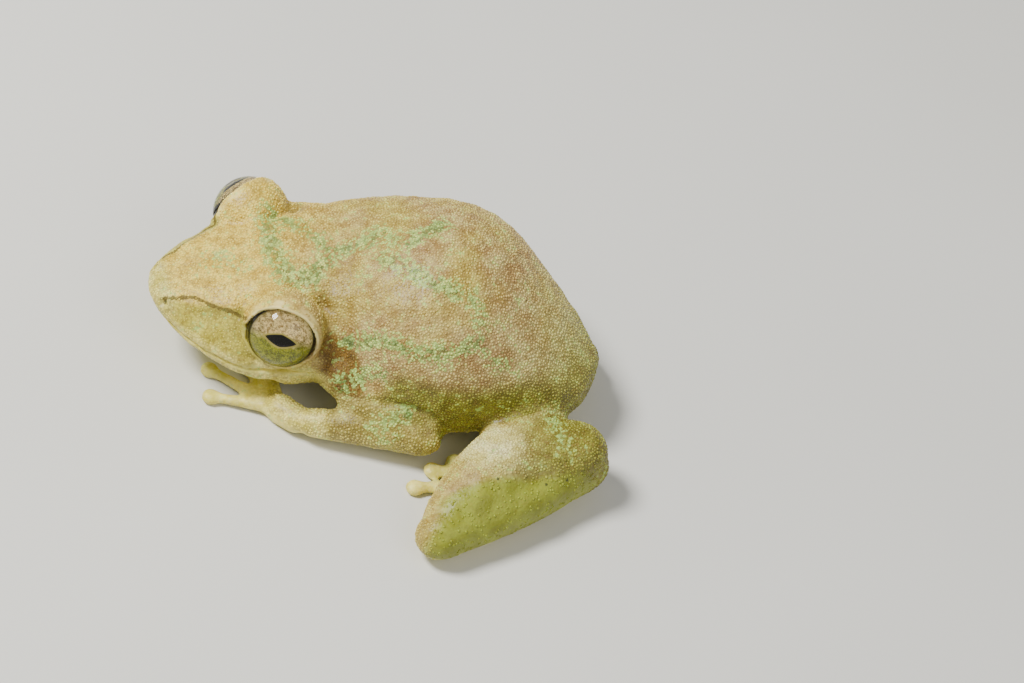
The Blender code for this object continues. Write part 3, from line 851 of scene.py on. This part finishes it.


# The finish of the skin: moist and finely granular, pinkish tan and gold, with jade speckles in
# the bands, cream lips and throat, and clear yellow olive where the body is thin or hidden.
# Painted shade darkens the neck, the cheek under the canthal ridge, the arm fold, the grooves
# between the granules and the nostrils, and painted light brightens the knee.

GRAIN_PER_METRE = 6000.0
TONES = {
    "pink": ((0.36, 0.215, 0.075), (0.61, 0.485, 0.185)),
    "golden": ((0.39, 0.280, 0.048), (0.60, 0.49, 0.105)),
    "rear": ((0.36, 0.355, 0.085), (0.55, 0.57, 0.190)),
    "muzzle": ((0.65, 0.44, 0.048), (0.98, 0.75, 0.125)),
    "olive_and_fold_shade": ((0.12, 0.112, 0.005), (0.26, 0.255, 0.022)),
    "loreal": ((0.46, 0.42, 0.040), (0.66, 0.61, 0.10)),
    "under_ridge_shadow": ((0.22, 0.20, 0.012), (0.30, 0.27, 0.03)),
    "arm": ((0.23, 0.20, 0.032), (0.48, 0.43, 0.10)),
    "shank": ((0.205, 0.225, 0.008), (0.30, 0.34, 0.028)),
    "rust": ((0.10, 0.05, 0.002), (0.24, 0.125, 0.012)),
    "cream": ((0.61, 0.53, 0.09), (0.93, 0.83, 0.25)),
    "knee_cream_and_highlight": ((0.74, 0.67, 0.22), (0.98, 0.92, 0.48)),
    "jade": ((0.055, 0.175, 0.037), (0.43, 0.66, 0.160)),
    "granule_tip": ((0.94, 0.76, 0.21), (0.56, 0.55, 0.07)),
}
NECK_SHADE_COLOUR = (0.17, 0.095, 0.012)
CREAM_SHADOW = (0.50, 0.48, 0.10)
GRAIN_BROWN = (0.28, 0.16, 0.035)
GROOVE_SHADE = (0.12, 0.075, 0.012)
BARE_SPECK = (0.70, 0.62, 0.26)
RIM_CREAM = (0.80, 0.68, 0.27)
FLECK_AND_NOSTRIL_SHADE_BLACK = (0.03, 0.035, 0.008)
STRIPE_GREEN = (0.05, 0.075, 0.02)
CANTHAL_BROWN = (0.10, 0.07, 0.008)


def skin_colour(place, chance, patch, broad):
    """The colour of the skin under its granules, from the ground tone up to the markings."""
    fine = patch.rise(0.35, 0.65)
    mark = place.attribute
    behind = place.part(0)
    colour = broad.rise(0.40, 0.62).mix(fine.tone("pink"), fine.tone("golden"))
    colour = (behind.rise(0.005, 0.0105) * 0.8).mix(colour, fine.tone("rear"))
    colour = behind.rise(-0.003, -0.0085).mix(colour, fine.tone("muzzle"))
    # Painted shade where the neck folds in behind the eye.
    painted_neck_shade = (mark("painted_neck_shade") + (patch - 0.5) * 0.5).rise(0.15, 0.95)
    colour = (painted_neck_shade * 0.75).mix(colour, NECK_SHADE_COLOUR)
    # Olive on flank, rump and heels, with the painted shade of the arm fold.
    olive_and_fold_shade = (mark("olive_and_fold_shade") + (broad - 0.5) * 0.5).rise(0.2, 0.9)
    colour = olive_and_fold_shade.mix(colour, fine.tone("olive_and_fold_shade"))
    colour = (mark("loreal") * 0.85).mix(colour, fine.tone("loreal"))
    # Painted shadow on the cheek under the canthal ridge.
    colour = (mark("ridge_shadow") * 0.55).mix(colour, fine.tone("under_ridge_shadow"))
    colour = (mark("arm") * 0.8).mix(colour, fine.tone("arm"))
    shank = (mark("shank") + (broad - 0.5) * 0.6).rise(0.2, 0.9)
    colour = shank.mix(colour, fine.tone("shank"))
    rust = (mark("rust") + (patch - 0.5) * 0.6).rise(0.3, 0.9)
    colour = rust.mix(colour, fine.tone("rust"))
    cream = (broad.rise(0.5, 0.6) * 0.5).mix(fine.tone("cream"), CREAM_SHADOW)
    pale = (mark("pale").larger(mark("knee_cream_and_highlight")) + (patch - 0.5) * 0.5).rise(0.15, 0.9)
    colour = pale.mix(colour, cream)
    # The knee's own cream, lightened further as painted light on the front of the thigh.
    colour = (mark("knee_cream_and_highlight") * 0.85).mix(colour, fine.tone("knee_cream_and_highlight"))
    scatter = (chance - 0.5) * 1.1 + (patch - 0.5) * 2.0
    green = (mark("green") + scatter).rise(0.38, 0.78)
    jade = chance.rise(0.15, 0.85).tone("jade")
    return (green * (1 - mark("shank")) * 0.85).mix(colour, jade)


def granule_colour(colour, place, chance, grain):
    """Paler tops on the granules, most of all on the head."""
    on_head = place.part(0).rise(-0.002, -0.006)
    bright = chance.rise(0.35, 1.0) * (on_head * 0.14 + 0.38) + 0.02
    tip = place.attribute("olive_and_fold_shade").larger(place.attribute("shank")).tone("granule_tip")
    return (bright * grain * (1 - place.attribute("rust") * 0.7)).mix(colour, tip)


def ground_colour(colour, place, chance, patch, speck, grain):
    """Painted shade between the granules, pale specks where there are none, rims and flecks."""
    # Painted shade in the grooves between the granules, deepest at the edges of the cells.
    groove_shade = speck.rise(0.25, 0.75) * grain * 0.35 + grain * 0.14
    colour = groove_shade.mix(colour, GROOVE_SHADE)
    bare = (1 - grain) * (1 - place.attribute("shank"))
    colour = (chance.rise(0.7, 0.85) * bare * 0.35).mix(colour, BARE_SPECK)
    colour = (place.attribute("rim") * 0.9).mix(colour, RIM_CREAM)
    # Dark flecks, and painted shade in the nostrils.
    fleck_and_nostril_shade = place.attribute("fleck_and_nostril_shade") + (patch - 0.5) * 0.5
    return (fleck_and_nostril_shade.rise(0.45, 0.65) * 0.85).mix(colour, FLECK_AND_NOSTRIL_SHADE_BLACK)


def skin_material(name, raised):
    """The skin's finish, raised on the granules and plain between them."""
    material, shader, place = new_material(name, Specular_IOR_Level=0.42, Subsurface_Weight=0.1,
                                           Subsurface_Radius=(1.0, 0.5, 0.2),
                                           Subsurface_Scale=0.0005)
    broad = place.noise(240.0, 3.0, 0.55)
    patch = place.noise(1100.0, 5.0, 0.65)
    speck = place.cells(GRAIN_PER_METRE)
    cell_tint = place.cells(GRAIN_PER_METRE, output=1)
    chance = cell_tint.node("ShaderNodeSeparateColor", None, {"Color": cell_tint})
    grain = place.attribute("grain")
    canthal = place.attribute("canthal")
    colour = skin_colour(place, chance, patch, broad)
    dark_grains = (1 - chance.rise(0.0, 0.35)) * grain * 0.35
    colour = dark_grains.mix(colour, GRAIN_BROWN)
    if raised:
        colour = granule_colour(colour, place, chance, grain)
    else:
        colour = ground_colour(colour, place, chance, patch, speck, grain)
    stripe = (place.attribute("stripe") + (patch - 0.5) * 0.6).rise(0.3, 0.7)
    colour = (stripe * 0.75).mix(colour, STRIPE_GREEN)
    serrated = canthal + (place.noise(5200.0, 2.0) - 0.5) * 1.2
    colour = (serrated.rise(0.45, 0.75) * 0.85).mix(colour, CANTHAL_BROWN)
    wire(colour, shader, "Base Color")
    wire(patch.rise(0.3, 0.7) * 0.16 + 0.38 + canthal * 0.35, shader, "Roughness")
    relief = (1 - speck) * 0.8 + place.noise(9000.0, 2.0) * 0.3
    dent = place.node("ShaderNodeBump", None,
                      {"Height": relief, "Strength": 0.45, "Distance": 0.00005})
    wire(dent, shader, "Normal")
    return material


skin = add_object("skin", skin_mesh)
skin_mesh.materials.append(skin_material("frog_skin", raised=False))
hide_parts(*FLESH)
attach(skin, "root")


# The granules: small domes that stand on the skin, close together on back, head and limbs. They
# keep apart by their spacing, vary in size and grow sparse where the skin is smooth.

GRANULE_SPACING = 0.135
GRANULE_RADIUS = 0.082
GRANULE_SIZES = (0.6, 1.2)
GRANULE_FLATNESS = 0.45
GRANULES_PER_SQUARE = 160.0
GRANULE_SEED = 11
GRANULE_CORNERS = 12
GRANULE_PIECES = 3


def granule_tree(material):
    """The granules as nodes: points on the skin, a flat dome on each, all of them made real."""
    tree = bpy.data.node_groups.new("granules", "GeometryNodeTree")
    face = tree.interface
    face.new_socket("Geometry", in_out="INPUT", socket_type="NodeSocketGeometry")
    for label in ("Spacing", "Radius"):
        face.new_socket(label, in_out="INPUT", socket_type="NodeSocketFloat")
    face.new_socket("Seed", in_out="INPUT", socket_type="NodeSocketInt")
    face.new_socket("Geometry", in_out="OUTPUT", socket_type="NodeSocketGeometry")

    def add(kind, **settings):
        node = tree.nodes.new(kind)
        for name, value in settings.items():
            setattr(node, name, value)
        return node

    def join(source, output, target, socket):
        tree.links.new(source.outputs[output], target.inputs[socket])

    entry, leave = add("NodeGroupInput"), add("NodeGroupOutput")
    grain = add("GeometryNodeInputNamedAttribute", data_type="FLOAT")
    grain.inputs["Name"].default_value = "grain"
    scatter = add("GeometryNodeDistributePointsOnFaces", distribute_method="POISSON")
    scatter.inputs["Density Max"].default_value = GRANULES_PER_SQUARE * MM**2
    join(entry, "Geometry", scatter, "Mesh")
    join(entry, "Spacing", scatter, "Distance Min")
    join(entry, "Seed", scatter, "Seed")
    join(grain, 0, scatter, "Density Factor")
    dome = add("GeometryNodeMeshIcoSphere")
    dome.inputs["Radius"].default_value = 1.0
    dome.inputs["Subdivisions"].default_value = 1
    flat = add("GeometryNodeTransform")
    flat.inputs["Scale"].default_value = (1.0, 1.0, GRANULE_FLATNESS)
    join(dome, "Mesh", flat, "Geometry")
    size = add("FunctionNodeRandomValue", data_type="FLOAT")
    size.inputs[2].default_value, size.inputs[3].default_value = GRANULE_SIZES
    scale = add("ShaderNodeMath", operation="MULTIPLY")
    join(size, 1, scale, 0)
    join(entry, "Radius", scale, 1)
    local_size = add("GeometryNodeInputNamedAttribute", data_type="FLOAT")
    local_size.inputs["Name"].default_value = "granule_size"
    full_scale = add("ShaderNodeMath", operation="MULTIPLY")
    join(scale, 0, full_scale, 0)
    join(local_size, 0, full_scale, 1)
    place = add("GeometryNodeInstanceOnPoints")
    join(scatter, "Points", place, "Points")
    join(flat, "Geometry", place, "Instance")
    join(scatter, "Rotation", place, "Rotation")
    join(full_scale, 0, place, "Scale")
    real = add("GeometryNodeRealizeInstances")
    join(place, "Instances", real, "Geometry")
    paint = add("GeometryNodeSetMaterial")
    paint.inputs["Material"].default_value = material
    join(real, "Geometry", paint, "Geometry")
    join(paint, "Geometry", leave, "Geometry")
    return tree


def all_granules():
    """One mesh with every granule on the skin."""
    carrier = add_object("granule_carrier", skin_mesh.copy())
    modifier = carrier.modifiers.new("granules", "NODES")
    modifier.node_group = granule_tree(skin_material("frog_granules", raised=True))
    values = {"Spacing": GRANULE_SPACING / MM, "Radius": GRANULE_RADIUS / MM,
              "Seed": GRANULE_SEED}
    for socket in modifier.node_group.interface.items_tree:
        if socket.name in values:
            modifier[socket.identifier] = values[socket.name]
    bpy.context.view_layer.update()
    graph = bpy.context.evaluated_depsgraph_get()
    data = bpy.data.meshes.new_from_object(carrier.evaluated_get(graph))
    bpy.data.objects.remove(carrier)
    return data


def add_granules(name, data, chosen):
    """The chosen granules as one piece."""
    data = data.copy()
    data.name = name
    keep = np.repeat(chosen, GRANULE_CORNERS)
    mesh = bmesh.new()
    mesh.from_mesh(data)
    extra = [vertex for vertex, kept in zip(mesh.verts, keep) if not kept]
    bmesh.ops.delete(mesh, geom=extra, context="VERTS")
    mesh.to_mesh(data)
    mesh.free()
    data.shade_smooth()
    granules = add_object(name, data)
    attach(granules, "root")


def part_granules():
    """Splits the granules into pieces from head to rump, each with the same number."""
    data = all_granules()
    lengthwise = vertex_places(data)[:, 0].reshape(-1, GRANULE_CORNERS).mean(axis=1)
    order = np.argsort(np.argsort(lengthwise))
    share = order * GRANULE_PIECES // len(order)
    for index in range(GRANULE_PIECES):
        add_granules(f"granules_{index + 1}", data, share == index)


part_granules()


# The eyes: a dark eyeball each with the iris set into its front, tan above and yellow green
# below, round a level pupil that is pointed at both ends, and a clear, wet cornea over it.

GAZE_FORWARD = math.radians(24.0)
GAZE_UPWARD = math.radians(21.0)
BALL_RADIUS = 1.91
IRIS_DEPTH = 0.88
IRIS_RADIUS = 1.66
IRIS_DOMING = 0.45
PUPIL_HALF_LENGTH = 0.76
PUPIL_HALF_HEIGHT = 0.32
EYE_SEGMENTS = 96
LIMB_OVERLAP = 0.06
EYE_BLACK = (0.012, 0.010, 0.003)
PUPIL_BLACK = (0.002, 0.002, 0.001)
PUPIL_RING = (0.40, 0.33, 0.07)
RAY_BROWN = (0.05, 0.04, 0.005)
RIM_OLIVE = (0.17, 0.15, 0.02)
STREAK_BROWN = (0.07, 0.045, 0.01)
BALL_BROWN = (0.21, 0.165, 0.05)
CORNEA_EDGE = (0.04, 0.035, 0.02)
CLEAR = (1.0, 1.0, 1.0)
TONES["upper_iris"] = ((0.24, 0.14, 0.040), (0.90, 0.71, 0.29))
TONES["lower_iris"] = ((0.11, 0.12, 0.001), (0.34, 0.36, 0.003))


def iris_material():
    """The iris in its own axes: along the pupil, up across it and out along the line of sight."""
    material, shader, place = new_material("frog_iris", Specular_IOR_Level=0.2)
    spot = place.attribute("look", output=1)
    along, up, depth = [spot.part(index) for index in range(3)]
    squares = along * along + up * up
    radius = squares.maths("SQRT", squares)
    veins = spot.noise(2.6, 5.0, 0.65, 1.2)
    fine = spot.noise(9.0, 4.0, 0.7, 1.5)
    net = (fine * 0.6 + veins * 0.4).rise(0.43, 0.57)
    level = up + (veins - 0.5) * 0.9
    colour = level.rise(-0.35, 0.3).mix(net.tone("lower_iris"), net.tone("upper_iris"))
    around = along.maths("ARCTAN2", along, up)
    thread = around.node("ShaderNodeCombineXYZ", None, {"X": around * 2.4, "Y": radius * 0.6})
    rays = 1 - thread.noise(3.6, 3.0, 0.6, 0.5).rise(0.32, 0.44)
    colour = (rays * radius.rise(0.5, 1.0) * 0.6).mix(colour, RAY_BROWN)
    colour = (radius.rise(1.15, 1.6) * 0.45).mix(colour, RIM_OLIVE)
    long = along.maths("ABSOLUTE", along) * (1 / PUPIL_HALF_LENGTH)
    high = up.maths("ABSOLUTE", up) * (1 / PUPIL_HALF_HEIGHT)
    pupil = long.maths("POWER", long, 1.3) + high.maths("POWER", high, 1.3)
    colour = (1 - pupil.rise(1.1, 1.45)).mix(colour, PUPIL_RING)
    streak = 1 - level.maths("ABSOLUTE", level - 0.12).rise(0.02, 0.09)
    colour = (streak * long.rise(1.1, 1.4) * 0.6).mix(colour, STREAK_BROWN)
    colour = pupil.rise(0.92, 1.06).mix(PUPIL_BLACK, colour)
    edge = (radius + (fine - 0.5) * 0.12).rise(IRIS_RADIUS - 0.16, IRIS_RADIUS - 0.06)
    colour = edge.mix(colour, EYE_BLACK)
    wall = 1 - depth.rise(IRIS_DEPTH - 0.06, IRIS_DEPTH - 0.01)
    colour = wall.mix(colour, EYE_BLACK)
    white_of_eye = 1 - (depth + (veins - 0.5) * 0.2).rise(0.50, 0.68)
    wire(white_of_eye.mix(colour, BALL_BROWN), shader, "Base Color")
    wire(0.5 - wall * 0.25, shader, "Roughness")
    return material


def cornea_material():
    material, shader, place = new_material("frog_cornea", Transmission_Weight=1.0, IOR=1.33)
    wire(place.noise(300.0).rise(0.2, 0.8) * 0.01 + 0.005, shader, "Roughness")
    depth = place.attribute("look", output=1).part(2)
    clear = depth.rise(IRIS_DEPTH + 0.04, IRIS_DEPTH + 0.24)
    wire(clear.mix(CORNEA_EDGE, CLEAR), shader, "Base Color")
    return material


def turned(profile, name, axes, middle, material):
    """A closed surface of revolution about the line of sight, from (radius, depth) places."""
    rings = [ring for ring in profile if ring[0] > 0.0]
    angles = np.arange(EYE_SEGMENTS) * 2 * math.pi / EYE_SEGMENTS
    places = [(0.0, 0.0, profile[0][1])]
    for radius, depth in rings:
        places += [(radius * math.cos(a), radius * math.sin(a), depth) for a in angles]
    places.append((0.0, 0.0, profile[-1][1]))
    last = len(places) - 1
    faces = []
    for i in range(EYE_SEGMENTS):
        j = (i + 1) % EYE_SEGMENTS
        faces.append((0, 1 + j, 1 + i))
        for k in range(len(rings) - 1):
            row = 1 + k * EYE_SEGMENTS
            faces.append((row + i, row + j, row + EYE_SEGMENTS + j, row + EYE_SEGMENTS + i))
        row = 1 + (len(rings) - 1) * EYE_SEGMENTS
        faces.append((row + i, row + j, last))
    local = np.array(places)
    data = bpy.data.meshes.new(name)
    data.from_pydata(((middle + local @ axes) / MM).tolist(), [], faces)
    layer = data.attributes.new("look", "FLOAT_VECTOR", "POINT")
    layer.data.foreach_set("vector", local.ravel())
    mesh = bmesh.new()
    mesh.from_mesh(data)
    bmesh.ops.recalc_face_normals(mesh, faces=mesh.faces)
    mesh.to_mesh(data)
    mesh.free()
    data.shade_smooth()
    data.materials.append(material)
    made = add_object(name, data)
    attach(made, "root")
    return made


def arc(radius, start, end, steps):
    """Places (radius, depth) on a circle about the eye's centre, by angle from the sight line."""
    angles = np.linspace(start, end, steps)
    return [(radius * math.sin(a), radius * math.cos(a)) for a in angles]


frog_iris = iris_material()
frog_cornea = cornea_material()


def make_eye(side):
    """The eyeball, its front set in with a domed iris, and the cornea that fills the hollow."""
    middle = eye_middles[side]
    gaze = outward(side, GAZE_FORWARD, GAZE_UPWARD)
    back = np.cross(gaze, head_turn[:, 2])
    back /= np.linalg.norm(back)
    above = np.cross(back, gaze)
    above *= np.sign(above[2])
    axes = np.stack([back, above, gaze])
    limb = math.acos(IRIS_DEPTH / BALL_RADIUS)
    rim = BALL_RADIUS * math.sin(limb)
    ball = arc(BALL_RADIUS, math.pi, limb, 40)
    radii = np.linspace(IRIS_RADIUS, 0.0, 14)
    iris = [(r, IRIS_DEPTH + IRIS_DOMING * (1 - (r / IRIS_RADIUS) ** 2)) for r in radii]
    ball[0] = (0.0, -BALL_RADIUS)
    eyeball = turned(ball + [(rim - 0.03, IRIS_DEPTH - 0.01)] + iris, "eyeball_" + side, axes,
                     middle, frog_iris)
    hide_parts("eye_" + side)
    front = arc(EYE_RADIUS, 0.0, limb + LIMB_OVERLAP, 26)
    under = arc(BALL_RADIUS - 0.03, limb + LIMB_OVERLAP, limb + LIMB_OVERLAP / 3, 3)
    floor = [(r, depth - 0.02) for r, depth in iris]
    turned(front + under + floor, "cornea_" + side, axes, middle, frog_cornea)


for eye_side in eye_middles:
    make_eye(eye_side)
